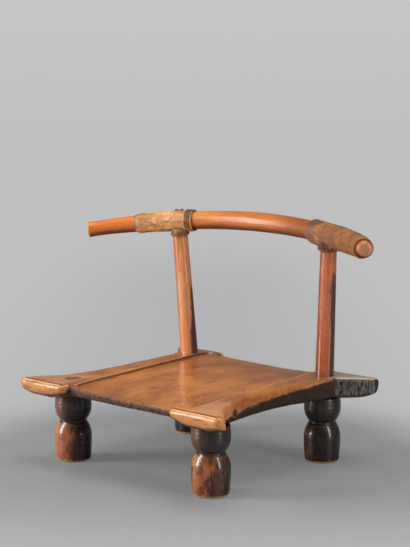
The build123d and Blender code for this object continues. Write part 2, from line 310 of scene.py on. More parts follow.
def carve_seat(place):
    """Where a point of the plain board lies on the carved one."""
    along = abs(place.y)
    across = abs(place.x)
    end = 1 if place.y > 0 else -1
    lip = step(along, lip_start, lip_full)
    level = min(max((place.z - lip_low) / (lip_high - lip_low), 0.0), 1.0)
    tuck = lip * lip_tuck * (1 - sqrt(1 - (1 - level) ** 2))
    horn = step(along, horn_start, horn_end)
    nose = horn * step(across, nose_x + nose_length, nose_x) * step(across, nose_edge, nose_x)
    raised = place.z + max(lip_high - place.z, 0.0) * nose_share * nose
    tip = horn * step(across, tip_start, tip_end)
    raised += max(tip_high - place.z, 0.0) * tip_share * tip
    drift_x = unevenness(place + Vector((9, 0, 0)), drift_spacing)
    drift_y = unevenness(place + Vector((0, 9, 0)), drift_spacing)
    wander = Vector((0, 0, adze_depth)) * unevenness(place, adze_spacing)
    wander += Vector((drift_x, drift_y, 0)) * adze_drift
    carved = Vector((place.x, end * (along - tuck), raised)) + wander
    carved.y = min(max(carved.y, edge_kept - lip_end), lip_end - edge_kept)
    return carved


seat = merged_copy("seat", "carved_seat")
apply_modifier(seat, "even_grid", "REMESH", mode="VOXEL", voxel_size=seat_grid)
apply_modifier(seat, "worn_soft", "SMOOTH", factor=0.5, iterations=4)
for point in seat.data.vertices:
    point.co = carve_seat(point.co)
apply_modifier(seat, "thinned", "DECIMATE", ratio=seat_faces_kept)
apply_modifier(seat, "evened", "SMOOTH", factor=0.5, iterations=2)


def group_start(name, inputs, outputs):
    """An empty node group with its sockets, as (tree, inputs, output node)."""
    made = bpy.data.node_groups.new(name, "ShaderNodeTree")
    for label, kind in inputs.items():
        made.interface.new_socket(label, in_out="INPUT", socket_type="NodeSocket" + kind)
    for label, kind in outputs.items():
        made.interface.new_socket(label, in_out="OUTPUT", socket_type="NodeSocket" + kind)
    return made, made.nodes.new("NodeGroupInput").outputs, made.nodes.new("NodeGroupOutput")


def use_group(tree, name, inputs):
    """A copy of a node group in a material, as its outputs."""
    return put(tree, "Group", inputs, node_tree=bpy.data.node_groups[name]).outputs


# Grain runs along the Z of the place it is given: long streaks, broad clouds and short open pores.
grain, given, result = group_start(
    "Timber grain",
    {"Place": "Vector", "Streak": "Float"},
    {"Streaks": "Float", "Clouds": "Float", "Pores": "Float"},
)
swirl = put(grain, "TexNoise", {"Vector": given["Place"], "Scale": 14.0, "Detail": 2.0}).outputs["Color"]
bent = put(grain, "VectorMath", {0: swirl, "Scale": 0.012}, operation="SCALE").outputs[0]
bent = put(grain, "VectorMath", {0: given["Place"], 1: bent}, operation="ADD").outputs[0]
along = put(grain, "VectorMath", {0: bent, 1: (1, 1, 0.09)}, operation="MULTIPLY").outputs[0]
fine = put(grain, "VectorMath", {0: along, "Scale": given["Streak"]}, operation="SCALE").outputs[0]
streaks = put(grain, "TexNoise", {"Vector": fine, "Scale": 1.0, "Detail": 6.0, "Roughness": 0.65})
grain.links.new(fade(streaks.outputs["Fac"], 0.3, 0.7), result.inputs["Streaks"])
broad = put(grain, "VectorMath", {0: bent, 1: (1, 1, 0.35)}, operation="MULTIPLY").outputs[0]
clouds = put(grain, "TexNoise", {"Vector": broad, "Scale": 24.0, "Detail": 4.0, "Roughness": 0.55})
grain.links.new(fade(clouds.outputs["Fac"], 0.32, 0.68), result.inputs["Clouds"])
pores = put(grain, "TexNoise", {"Vector": fine, "Scale": 3.5, "Detail": 2.0})
grain.links.new(fade(pores.outputs["Fac"], 0.58, 0.70), result.inputs["Pores"])

# Painted shade that darkens inside corners and under ledges, and edges that hands have worn.
corner_shade_tree, given, result = group_start("Corner shade", {"Reach": "Float"}, {"Mask": "Float"})
open_sky = put(corner_shade_tree, "AmbientOcclusion", {"Distance": given["Reach"]}, samples=8).outputs["AO"]
corner_shade_tree.links.new(fade(open_sky, 0.68, 0.30), result.inputs["Mask"])
wear, given, result = group_start("Edge wear", {"Reach": "Float"}, {"Mask": "Float"})
within = put(wear, "AmbientOcclusion", {"Distance": given["Reach"]}, samples=8, inside=True)
wear.links.new(fade(within.outputs["AO"], 0.92, 0.45), result.inputs["Mask"])

seat_brown = shade(176, 100, 46)
seat_orange = shade(218, 142, 72)
seat_dark = shade(104, 54, 26)
seat_dull = shade(136, 92, 58)
lip_orange = shade(222, 146, 78)
scorched = shade(20, 15, 13)
grime_and_shade_colour = shade(36, 20, 12)
pale_grain = shade(122, 114, 106)
panel_end = 0.1900
flare_x = 0.1895
step_line = 0.133              # the dish's side, from the middle of the dish
dish_middle = 0.006
dish_turn = 6.0
incised_y = 0.1975
tenon_place = (-0.155, -0.152)
tenon_radius = 0.013
bored_holes = ((0.1935, 0.1505, 0.1236), (0.1940, 0.1500, 0.1393))
bored_radius = 0.0034
knot_place = (0.185, -0.110, 0.1286)
knot_radius = 0.0062
dust_and_sheen_place = (0.204, 0.178)
wood_relief = 0.0006           # how deep the wood's grain and tool marks are


def finish_wood(colour, roughness, height, bump, gloss, coat_roughness=0.17):
    """Polished wood from a colour, a roughness, a height and how much wax is on it."""
    tree = colour.id_data
    relief = put(tree, "Bump", {"Height": height, "Strength": bump, "Distance": wood_relief}).outputs[0]
    inputs = {"Base Color": colour, "Roughness": roughness, "Normal": relief, "Specular IOR Level": 0.4}
    wood = put(tree, "BsdfPrincipled", {**inputs, "Coat Weight": gloss, "Coat Roughness": coat_roughness})
    put(tree, "OutputMaterial", {"Surface": wood.outputs[0]})


def moved(place, **how):
    """A place shifted by a Location or turned by a Rotation."""
    return put(place.id_data, "Mapping", {"Vector": place, **how}).outputs[0]


def apart(first, second):
    """How far two values lie apart."""
    return maths("ABSOLUTE", maths("SUBTRACT", first, second))


def gap_to(place, point):
    """How far a place lies from a point."""
    return put(place.id_data, "VectorMath", {0: place, 1: point}, operation="DISTANCE").outputs["Value"]


def near_point(place, point, radius, soft=0.25):
    """1 within a radius of a point and 0 outside."""
    return fade(gap_to(place, point), radius * (1 + soft), radius * (1 - soft))


seat_wood, tree, place = bare_material("seat_wood")
axes = parts(place)
facing = parts(put(tree, "NewGeometry").outputs["Normal"])
side_x = maths("ABSOLUTE", axes["X"])
side_y = maths("ABSOLUTE", axes["Y"])
upward = fade(facing["Z"], 0.35, 0.75)
front_to_back = moved(place, Rotation=(radians(90), 0, radians(4)))
figure = use_group(tree, "Timber grain", {"Place": front_to_back, "Streak": 210.0})
blotches = mottle(place, 17.0, stretch=(1, 0.55, 1))
speckle = mottle(place, 150.0, detail=4.0, rough_share=0.7)
wobble = product(maths("SUBTRACT", blotches, 0.5), 0.02)
frayed = maths("MULTIPLY_ADD", maths("SUBTRACT", speckle, 0.5), 0.006, wobble)

colour = blend(fade(blotches, 0.36, 0.64), seat_brown, seat_orange)
colour = cover(colour, seat_dark, figure["Streaks"], 0.42)
colour = cover(colour, shade(196, 106, 44), figure["Clouds"], 0.30)
on_rail = fade(side_x, 0.128, 0.140)
smears = mottle(place, 42.0, detail=6.0, rough_share=0.7, stretch=(1, 0.45, 1))
colour = cover(colour, shade(92, 50, 28), fade(smears, 0.50, 0.66, 0.0, 0.6), on_rail)
colour = cover(colour, seat_dark, figure["Pores"], 0.06)

# The panel is duller and greyer towards its back and right, and browner at its front left corner.
# The rails' front ends are painted paler: partly rubbed pale, partly a painted sheen.
away = maths("ADD", axes["Y"], product(axes["X"], 0.35))
dull = fade(maths("ADD", away, product(wobble, 6.0)), 0.02, 0.23, 0.0, 0.55)
colour = cover(colour, seat_dull, dull, upward)
from_corner = maths("MULTIPLY_ADD", axes["X"], 0.6, maths("MULTIPLY_ADD", wobble, 4.0, axes["Y"]))
off_rail = maths("SUBTRACT", 1.0, on_rail)
handled = product(fade(from_corner, -0.12, -0.24, 0.0, 0.45), upward, off_rail)
colour = cover(colour, shade(138, 78, 40), handled)
rubbed_pale_and_sheen = product(fade(axes["Y"], -0.09, -0.15, 0.0, 0.40), on_rail, upward)
colour = cover(colour, shade(222, 170, 132), rubbed_pale_and_sheen)

# The cut front and back edges of the panel are dark, rough and reddish.
cut_edge = product(
    fade(side_y, panel_end - 0.008, panel_end - 0.006),
    fade(maths("MULTIPLY_ADD", frayed, 12.0, maths("ABSOLUTE", facing["Y"])), 0.36, 0.56),
    fade(side_x, 0.130, 0.124),
)
edge_shade = blend(fade(speckle, 0.38, 0.62), shade(112, 64, 46), shade(34, 23, 20))
colour = cover(colour, edge_shade, cut_edge)

# Lips are worn pale orange on their upper half and painted nearly black where they curve under: painted
# shade.
lip = product(fade(side_y, lip_end - 0.020, lip_end - 0.013), fade(side_x, 0.119, 0.126))
worn = blend(product(figure["Streaks"], 0.35), lip_orange, shade(184, 108, 52))
lip_marks = mottle(place, 80.0, detail=6.0, rough_share=0.7, stretch=(0.35, 1, 1.6))
worn = cover(worn, seat_dark, fade(lip_marks, 0.49, 0.62, 0.0, 0.75))
colour = cover(colour, worn, lip, 0.9)
wavering = maths("ADD", axes["Z"], frayed)
under_lip_shade = product(fade(side_y, 0.176, 0.188), fade(wavering, 0.1240, 0.1170))
colour = cover(colour, shade(40, 26, 20), under_lip_shade, 0.93)

# A line is incised behind each lip: painted shade in it, and a painted highlight along its outer edge.
line_away = apart(side_y, maths("MULTIPLY_ADD", wobble, 0.06, incised_y))
line_span = product(fade(side_x, 0.129, 0.137), fade(side_x, 0.230, 0.224), upward)
groove_highlight = fade(apart(side_y, incised_y + 0.0044), 0.0028, 0.0006)
colour = cover(colour, shade(246, 206, 160), groove_highlight, line_span, 0.55)
shaded_groove = product(fade(line_away, 0.0030, 0.0010), line_span)
colour = cover(colour, grime_and_shade_colour, shaded_groove, 0.85)
# Along the dish's side the step's corner is painted dark as painted shade, with a painted highlight on the
# rail's edge.
dish_place = moved(place, Location=(-dish_middle, 0, 0))
dish_place = moved(dish_place, Rotation=(0, 0, radians(-dish_turn)))
dish_side = maths("ABSOLUTE", parts(dish_place)["X"])
within_dish = fade(side_y, 0.190, 0.184)
from_step = maths("SUBTRACT", dish_side, step_line)
rail_edge_highlight = fade(apart(from_step, 0.0042), 0.0030, 0.0008)
colour = cover(colour, shade(220, 156, 100), rail_edge_highlight, within_dish, upward, 0.45)
shaded_step_corner = product(fade(maths("ABSOLUTE", from_step), 0.0022, 0.0006), within_dish)
colour = cover(colour, grime_and_shade_colour, shaded_step_corner, 0.70)

# The notch where a lip's inner end meets the panel's edge is painted black: a painted shadow.
folded = put(tree, "CombineXYZ", {"X": side_x, "Y": side_y, "Z": axes["Z"]}).outputs[0]
notch_shadow = near_point(folded, (0.1215, 0.1885, 0.1240), 0.0115, soft=0.35)
colour = cover(colour, shade(24, 16, 13), notch_shadow, 0.9)

# The end of the front left leg's tenon shows in the rail as a darker disc.
flat_place = put(tree, "VectorMath", {0: place, 1: (1, 1, 0)}, operation="MULTIPLY").outputs[0]
disc = near_point(flat_place, (*tenon_place, 0), tenon_radius, soft=0.10)
disc_share = product(disc, upward, fade(speckle, 0.3, 0.7, 0.2, 0.6))
colour = cover(colour, seat_dark, disc_share)
disc_rim = near_point(flat_place, (*tenon_place, 0), tenon_radius + 0.001, soft=0.06)
disc_edge = product(disc_rim, upward, maths("SUBTRACT", 1.0, disc), 0.6)
colour = cover(colour, grime_and_shade_colour, disc_edge)

# Round the right post's foot the rail is painted pale grey: partly dust, partly a painted sheen.
dust_and_sheen = near_point(flat_place, (*dust_and_sheen_place, 0), 0.045, soft=0.40)
dust_and_sheen = product(dust_and_sheen, upward, fade(blotches, 0.30, 0.60, 0.55, 0.95))
colour = cover(colour, shade(178, 166, 146), dust_and_sheen)

# Outer sides: scorched black under a worn orange band that thins towards the back.
outer = fade(maths("ABSOLUTE", facing["X"]), 0.45, 0.75)
outer_side = product(outer, fade(side_x, 0.158, 0.168))
band_low = maths("MULTIPLY_ADD", axes["Y"], 0.085, 0.1352)
below_band = fade(maths("SUBTRACT", wavering, band_low), 0.0022, -0.0022)
not_base = fade(wavering, 0.1140, 0.1175)
black = product(outer_side, below_band)
side_shade = blend(product(fade(speckle, 0.52, 0.66), 0.35), scorched, shade(80, 54, 42))
side_shade = cover(side_shade, shade(150, 78, 44), fade(wavering, 0.1165, 0.1135))
colour = cover(colour, side_shade, black, 0.96)
knot = near_point(place, knot_place, knot_radius)
colour = cover(colour, shade(20, 15, 13), knot, 0.9)
round_knot = near_point(place, knot_place, knot_radius + 0.0023)
knot_ring = product(round_knot, maths("SUBTRACT", 1.0, knot))
colour = cover(colour, shade(140, 84, 48), knot_ring, 0.6)

# The back horns' flared ends show grey end grain in upright furrows, with two bored holes in the right one.
diagonal = product(maths("ABSOLUTE", product(facing["X"], facing["Y"])), 2.0)
flare = product(
    fade(diagonal, 0.62, 0.88),
    fade(maths("ABSOLUTE", facing["Z"]), 0.55, 0.30),
    fade(side_x, flare_x - 0.003, flare_x + 0.001),
    fade(axes["Y"], 0.120, 0.140),
    fade(side_y, lip_end + 0.001, lip_end - 0.009),
)
furrows = mottle(place, 1.0, detail=4.0, rough_share=0.72, stretch=(330, 330, 60))
end_grain = blend(fade(furrows, 0.40, 0.60), shade(40, 34, 31), pale_grain)
end_grain = cover(end_grain, shade(34, 28, 25), fade(wavering, 0.122, 0.113))
colour = cover(colour, end_grain, flare)
holes = maths("MAXIMUM", *(near_point(place, hole, bored_radius) for hole in bored_holes))
colour = cover(colour, shade(14, 11, 10), holes)

# Inside corners and under ledges are painted darker: painted shade.
corner_shade = use_group(tree, "Corner shade", {"Reach": 0.006})["Mask"]
colour = cover(colour, grime_and_shade_colour, corner_shade, 0.8)
rubbed_edge = use_group(tree, "Edge wear", {"Reach": 0.004})["Mask"]
worn_edge = product(rubbed_edge, fade(wavering, 0.126, 0.134))
colour = cover(colour, lip_orange, worn_edge, 0.40)
# Faces that look down are painted darker: painted shade.
colour = cover(colour, shade(62, 38, 26), fade(facing["Z"], -0.35, -0.75, 0.0, 0.85))
soot = maths("MAXIMUM", flare, maths("MAXIMUM", product(black, not_base), cut_edge))
roughness = fade(blotches, 0.35, 0.65, 0.26, 0.40)
roughness = maths("MAXIMUM", roughness, product(soot, 0.62))
dips = mottle(place, 22.0, detail=1.0)
height = maths("ADD", product(figure["Streaks"], 0.10), product(dips, 2.2))
height = maths("ADD", height, product(soot, speckle, 2.5))
height = maths("ADD", height, product(flare, furrows, 7.0))
height = maths("SUBTRACT", height, product(maths("ADD", shaded_groove, shaded_step_corner), 1.2))
height = maths("SUBTRACT", height, product(maths("ADD", holes, knot), 3.0))
wax = maths("MULTIPLY_ADD", soot, -0.45, 0.5)
finish_wood(colour, roughness, height, bump=0.5, gloss=wax)
finish_piece(seat, seat_wood, "seat_wood", "seat")


# ---- Legs ----
# Four stub legs of the same hardwood, turned with a barrel body and a round bulb, and tenoned into the rails.
# Smoke and handling have blackened them, least on the two that face the light.
# Their sides away from the light, and the back legs, are painted blacker as well: painted shade over that
# black.
waist_height = 0.0695
tenon_level = 0.130            # above this a leg shows only as the end of its tenon
across_view = -43.0            # turns a pattern so that its X runs across the chair's front right corner
no_streaks = 1.0               # a place beyond the leg, so that its streaks start nowhere


def leg_wood(name, centre, black_and_shade_from, bulb_black, blotched, streaks_from):
    """Leg wood: an orange side worn through a black skin.

    black_and_shade_from is where the black, both skin and painted shade, starts across the leg, and
    streaks_from where dark streaks do, in metres from its axis. bulb_black and blotched say how black the
    bulb and the orange side's blotches are.
    """
    material, tree, place = bare_material(name)
    upright = moved(place, Location=(-centre[0], -centre[1], 0))
    axes = parts(upright)
    figure = use_group(tree, "Timber grain", {"Place": upright, "Streak": 420.0})
    turned = moved(upright, Rotation=(0, 0, radians(across_view)))
    across = parts(turned)["X"]
    blotches = mottle(upright, 60.0, rough_share=0.7, stretch=(1, 1, 0.6))
    speckle = mottle(upright, 330.0, detail=5.0, rough_share=0.75, stretch=(1, 1, 0.7))
    drift = maths("MULTIPLY_ADD", blotches, 0.05, -0.025)
    drift = maths("MULTIPLY_ADD", maths("SUBTRACT", speckle, 0.5), 0.05, drift)
    towards_shaded_side = maths("ADD", across, drift)
    colour = blend(figure["Clouds"], shade(240, 152, 84), shade(186, 98, 48))
    colour = cover(colour, shade(84, 40, 22), fade(blotches, 0.44, 0.58, 0.0, blotched))
    colour = cover(colour, shade(96, 42, 22), figure["Streaks"], 0.40)
    # Towards the side away from the light the leg is painted brown, then black: painted shade over its black
    # skin.
    shaded_brown_side = fade(towards_shaded_side, black_and_shade_from - 0.022, black_and_shade_from + 0.002, 0.0, 0.85)
    colour = cover(colour, shade(70, 33, 18), shaded_brown_side)
    lengthwise = mottle(upright, 1.0, detail=5.0, rough_share=0.75, stretch=(420, 420, 34))
    streak_side = fade(towards_shaded_side, streaks_from, streaks_from + 0.008)
    streak_band = fade(maths("ADD", axes["Z"], drift), 0.056, 0.040)
    streaked = product(fade(lengthwise, 0.42, 0.56), streak_side, streak_band)
    colour = cover(colour, shade(28, 18, 14), streaked, 0.85)
    black = fade(towards_shaded_side, black_and_shade_from - 0.006, black_and_shade_from + 0.014)
    # The bulb is painted black except towards the light: painted shade over its black skin.
    above_waist = maths("ADD", axes["Z"], product(drift, 0.15))
    bulb = fade(above_waist, waist_height - 0.004, waist_height + 0.003)
    bulb_black_and_shade = fade(towards_shaded_side, -0.032, 0.0, bulb_black, 1.0)
    black = maths("MAXIMUM", black, product(bulb, bulb_black_and_shade))
    skin = blend(fade(speckle, 0.46, 0.66), shade(10, 7, 6), shade(54, 26, 16))
    colour = cover(colour, skin, black, 0.95)
    # The pale ring just below the waist is a painted highlight.
    waist_highlight = fade(apart(axes["Z"], waist_height - 0.006), 0.0030, 0.0008)
    colour = cover(colour, shade(206, 140, 92), waist_highlight, 0.14)
    barrel_top = fade(maths("MULTIPLY_ADD", drift, 0.5, axes["Z"]), 0.046, 0.060, 0.0, 0.6)
    barrel_top = product(barrel_top, fade(across, -0.030, -0.014))
    colour = cover(colour, shade(36, 20, 15), barrel_top)
    # The waist's groove is painted dark: painted shade.
    waist_groove_shade = fade(apart(axes["Z"], waist_height), 0.0040, 0.0012)
    colour = cover(colour, shade(18, 12, 10), waist_groove_shade, 0.85)
    rim = fade(maths("ADD", axes["Z"], product(drift, 0.06)), 0.0044, 0.0018)
    colour = cover(colour, shade(206, 162, 96), rim, 0.85)
    chips = product(fade(speckle, 0.60, 0.68), fade(axes["Z"], 0.034, 0.010))
    colour = cover(colour, shade(176, 116, 62), chips, 0.55)
    tenon_end = blend(fade(speckle, 0.40, 0.64), shade(150, 92, 54), shade(104, 58, 34))
    colour = cover(colour, tenon_end, fade(axes["Z"], tenon_level - 0.002, tenon_level + 0.002))
    turning = mottle(upright, 1.0, detail=2.0, stretch=(14, 14, 560))
    height = maths("ADD", product(turning, 1.3), product(blotches, 2.2))
    height = maths("ADD", height, product(speckle, 0.5))
    roughness = fade(blotches, 0.35, 0.65, 0.22, 0.40)
    finish_wood(colour, roughness, height, bump=0.8, gloss=0.65, coat_roughness=0.09)
    return material


def middle(node):
    """The middle of a CAD node's box."""
    low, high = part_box(node)
    return (low + high) / 2


def give_material(node, material):
    """The CAD node's own slots all take the material."""
    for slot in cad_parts[node].material_slots:
        slot.material = material


for node, black_and_shade_from, bulb_black, blotched, streaks_from in (
    ("front_left_leg", 0.009, 0.55, 0.45, no_streaks),
    ("front_right_leg", 0.020, 0.78, 0.80, -0.010),
    ("back_left_leg", -0.045, 1.0, 0.85, no_streaks),
    ("back_right_leg", -0.028, 0.94, 0.85, no_streaks),
):
    leg_skin = leg_wood(f"{node}_wood", middle(node), black_and_shade_from, bulb_black, blotched, streaks_from)
    give_material(node, leg_skin)


# ---- Posts ----
# Two straight tapering posts of red-brown wood, polished bright and burnt dark down one side. They are driven
# through the board into the back legs.
def post_wood(name, centre, burn_from, burn_top, base_dark, colours):
    """Post wood: two reds and their dark streaks, with a burnt stripe and a dark foot.

    burn_from is where the stripe starts across the post, in metres from its axis, and burn_top its upper end.
    """
    red, orange, dark = colours
    material, tree, place = bare_material(name)
    upright = moved(place, Location=(-centre[0], -centre[1], 0))
    axes = parts(upright)
    figure = use_group(tree, "Timber grain", {"Place": upright, "Streak": 480.0})
    turned = moved(upright, Rotation=(0, 0, radians(across_view)))
    across = parts(turned)["X"]
    ragged = mottle(upright, 1.0, stretch=(110, 110, 22))
    drift = maths("MULTIPLY_ADD", ragged, 0.020, -0.010)
    colour = blend(figure["Clouds"], red, orange)
    colour = cover(colour, dark, figure["Streaks"], 0.40)
    left_edge = fade(maths("ADD", across, drift), -0.008, -0.013)
    colour = cover(colour, dark, left_edge, 0.55)
    stripe = fade(maths("ADD", across, drift), burn_from, burn_from + 0.004)
    lower = fade(maths("MULTIPLY_ADD", drift, 4.0, axes["Z"]), burn_top, burn_top - 0.02)
    colour = cover(colour, shade(40, 24, 18), stripe, lower, 0.9)
    base = fade(maths("MULTIPLY_ADD", drift, 1.5, axes["Z"]), 0.168, 0.150)
    colour = cover(colour, shade(66, 32, 20), base, base_dark)
    head = fade(maths("ADD", axes["Z"], drift), 0.364, 0.376)
    colour = cover(colour, shade(60, 34, 22), head, 0.6)
    height = maths("ADD", product(figure["Streaks"], 0.5), product(ragged, 1.6))
    polish = fade(ragged, 0.3, 0.7, 0.16, 0.28)
    finish_wood(colour, polish, height, bump=0.18, gloss=1.0, coat_roughness=0.08)
    return material


for node, burn_from, burn_top, base_dark, colours in (
    ("left_post", 0.0085, 0.50, 0.12, (shade(236, 134, 72), shade(252, 184, 124), shade(180, 86, 44))),
    ("right_post", 0.0040, 0.335, 0.40, (shade(184, 88, 44), shade(222, 124, 70), shade(112, 48, 26))),
):
    give_material(node, post_wood(f"{node}_wood", middle(node), burn_from, burn_top, base_dark, colours))


# ---- Back rail ----
# A peeled branch of paler wood, bent to a shallow bow, cut square at one end and rounded at the other.
# It rests on the posts' heads, pegged to them and bound there with hide.
left_end_way = (-0.691, -0.707, -0.152)
right_end_way = (0.712, -0.702, -0.004)
left_end_reach = 0.1397        # how far the end faces lie along those directions
right_end_reach = 0.2049
branch_wood, tree, place = bare_material("branch_wood")
axes = parts(place)
normal = put(tree, "NewGeometry").outputs["Normal"]
lengthwise = moved(place, Rotation=(0, radians(90), 0))
figure = use_group(tree, "Timber grain", {"Place": lengthwise, "Streak": 300.0})
colour = blend(figure["Clouds"], shade(206, 108, 38), shade(226, 138, 56))
colour = cover(colour, shade(146, 66, 14), fade(axes["X"], -0.02, 0.12, 0.0, 0.80))
colour = cover(colour, shade(240, 130, 46), fade(axes["X"], -0.16, -0.24, 0.0, 0.6))
colour = cover(colour, shade(140, 72, 32), figure["Streaks"], 0.35)
patches = mottle(place, 30.0, stretch=(0.6, 1, 1))
freckles = mottle(place, 210.0, detail=3.0)
colour = cover(colour, shade(120, 62, 32), fade(patches, 0.56, 0.74, 0.0, 0.6))
colour = cover(colour, shade(90, 48, 28), fade(freckles, 0.66, 0.74, 0.0, 0.5))
upwards = parts(normal)["Z"]
# The branch's underside is painted darker: painted shade.
underside_shade = fade(maths("MULTIPLY_ADD", patches, 0.6, upwards), 0.10, -0.50)
colour = cover(colour, shade(88, 32, 8), underside_shade, 0.85)
for way, end_reach, rim_shade, dust_shade in (
    (left_end_way, left_end_reach, shade(214, 148, 92), shade(84, 56, 42)),
    (right_end_way, right_end_reach, shade(206, 138, 90), shade(172, 112, 80)),
):
    reached = reach(place, way)
    along_end = reach(normal, way)
    end_only = fade(product(axes["X"], way[0]), 0.205, 0.220)
    face = product(fade(along_end, 0.86, 0.97), end_only)
    rim = product(fade(reached, end_reach - 0.0042, end_reach - 0.0024), end_only)
    colour = cover(colour, rim_shade, rim, 0.85)
    sawn = blend(freckles, dust_shade, shade(196, 142, 104))
    colour = cover(colour, sawn, face, 0.70)
height = maths("ADD", product(figure["Streaks"], 0.5), product(patches, 2.6))
height = maths("ADD", height, product(mottle(place, 90.0), 1.4))
gloss = maths("MULTIPLY_ADD", underside_shade, -0.32, 0.35)
roughness = fade(patches, 0.35, 0.65, 0.30, 0.46)
finish_wood(colour, roughness, height, bump=0.7, gloss=gloss, coat_roughness=0.24)
give_material("back_rail", branch_wood)


# ---- Rawhide sleeves ----
# Wet hide sewn round the branch over each post's head, shrunk tight, wrinkled and darkened as it dried.
# Each overlaps itself in a seam along the branch. Its inner end curls up and its outer end is drawn in tight.
sleeve_clear = 0.0003
sleeve_wall = 0.0016
seam_lap = 0.0011              # how far the seam's free edge stands up
seam_fade = 0.22               # the share of the way round over which it sinks back
end_curl = 0.0005              # how far the inner end curls up
end_tuck = 0.0006              # how far the outer end is drawn in
end_hug = 0.30                 # the share of the sleeve's height that is left at that end
pucker_count = 9
pucker_depth = 0.0007
pucker_reach = (0.045, 0.012)  # distances from the post's head at which the puckers start and are full
sag_reach = (0.050, 0.016)     # the same for the slack that hangs there
lump_depth = 0.0006
skin_tolerance = 0.08          # how far the branch's skin may lie from its radius, as a share of it
around_count = 96
crown_radius = 0.0173
head_radius = 0.0165
tip_radius = 0.0145
head_x = 0.1775                # where the branch crosses the posts' heads
tip_x = 0.3250
crown_y = 0.169
crown_z = 0.395
bow = 1.25                     # how fast the branch comes forward from its crown to its ends
well_outside = 0.08            # how far from the branch's middle a ray towards its skin starts
trusted_x = 0.2700             # beyond this the branch's middle is a smooth curve to the middle of its end
trusted_step = 0.005
way_step = 0.004               # how far to each side of a place the branch's direction is taken from
branch_ends = {
    -1: (Vector((-0.3235, 0.0370, 0.3795)), Vector(left_end_way)),
    1: (Vector((0.3264, 0.0370, 0.3890)), Vector(right_end_way)),
}
branch_body = BVHTree.FromObject(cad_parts["back_rail"], bpy.context.evaluated_depsgraph_get())


def branch_radius(x):
    """The branch's radius, thickest at its crown and thinnest at its tips."""
    if abs(x) < head_x:
        return crown_radius + (head_radius - crown_radius) * abs(x) / head_x
    return head_radius + (tip_radius - head_radius) * (abs(x) - head_x) / (tip_x - head_x)


def branch_skin(point, way):
    """Where the branch's outer skin lies beyond a point inside it, in a direction."""
    return branch_body.ray_cast(point + way * well_outside, -way)[0]


def branch_middle(x):
    """The middle of the branch where it crosses a plane of constant X, found from its top and sides."""
    if abs(x) > trusted_x:
        side = 1 if x > 0 else -1
        near = branch_middle(side * trusted_x)
        start_way = near - branch_middle(side * (trusted_x - trusted_step))
        end, end_way = branch_ends[side]
        span = end.x - near.x
        t = (x - near.x) / span
        start_slope = start_way * (span / start_way.x)
        end_slope = end_way * (span / end_way.x)
        middle_point = near * (2 * t**3 - 3 * t**2 + 1) + end * (3 * t**2 - 2 * t**3)
        return middle_point + start_slope * (t**3 - 2 * t**2 + t) + end_slope * (t**3 - t**2)
    point = Vector((x, crown_y - bow * x * x, crown_z))
    for _ in range(3):
        behind = branch_skin(point, Vector((0, 1, 0)))
        before = branch_skin(point, Vector((0, -1, 0)))
        if behind and before:
            point.y = (behind.y + before.y) / 2
        top = branch_skin(point, Vector((0, 0, 1)))
        if top:
            point.z = top.z - branch_radius(x)
    return point


def branch_way(x):
    """The direction in which the branch runs there."""
    return (branch_middle(x + way_step) - branch_middle(x - way_step)).normalized()


def open_tube(name, rows):
    """A tube of radius 1 from z = 0 to 1, cut into rows, to be bent to its place."""
    bpy.ops.object.select_all(action="DESELECT")
    middle_place = (0, 0, 0.5)
    bpy.ops.mesh.primitive_cylinder_add(
        vertices=around_count, radius=1, depth=1, end_fill_type="NOTHING", location=middle_place
    )
    tube = bpy.context.object
    tube.name = name
    bpy.ops.object.transform_apply(location=True, rotation=False, scale=False)
    ends = [[tube.data.vertices[end].co.z for end in edge.vertices] for edge in tube.data.edges]
    upright = [abs(first - last) > 0.5 for first, last in ends]
    bpy.ops.object.mode_set(mode="EDIT")
    bpy.ops.mesh.select_all(action="DESELECT")
    bpy.ops.mesh.select_mode(type="EDGE")
    bpy.ops.object.mode_set(mode="OBJECT")
    for edge, chosen in zip(tube.data.edges, upright):
        edge.select = chosen
    bpy.ops.object.mode_set(mode="EDIT")
    bpy.ops.mesh.subdivide(number_cuts=rows - 1)
    bpy.ops.object.mode_set(mode="OBJECT")
    return tube


def angle_of(point):
    """The angle round a tube's axis, from 0 to 2 pi."""
    return Vector((1, 0)).angle_signed(Vector((point.x, -point.y)), 0.0) % (2 * pi)


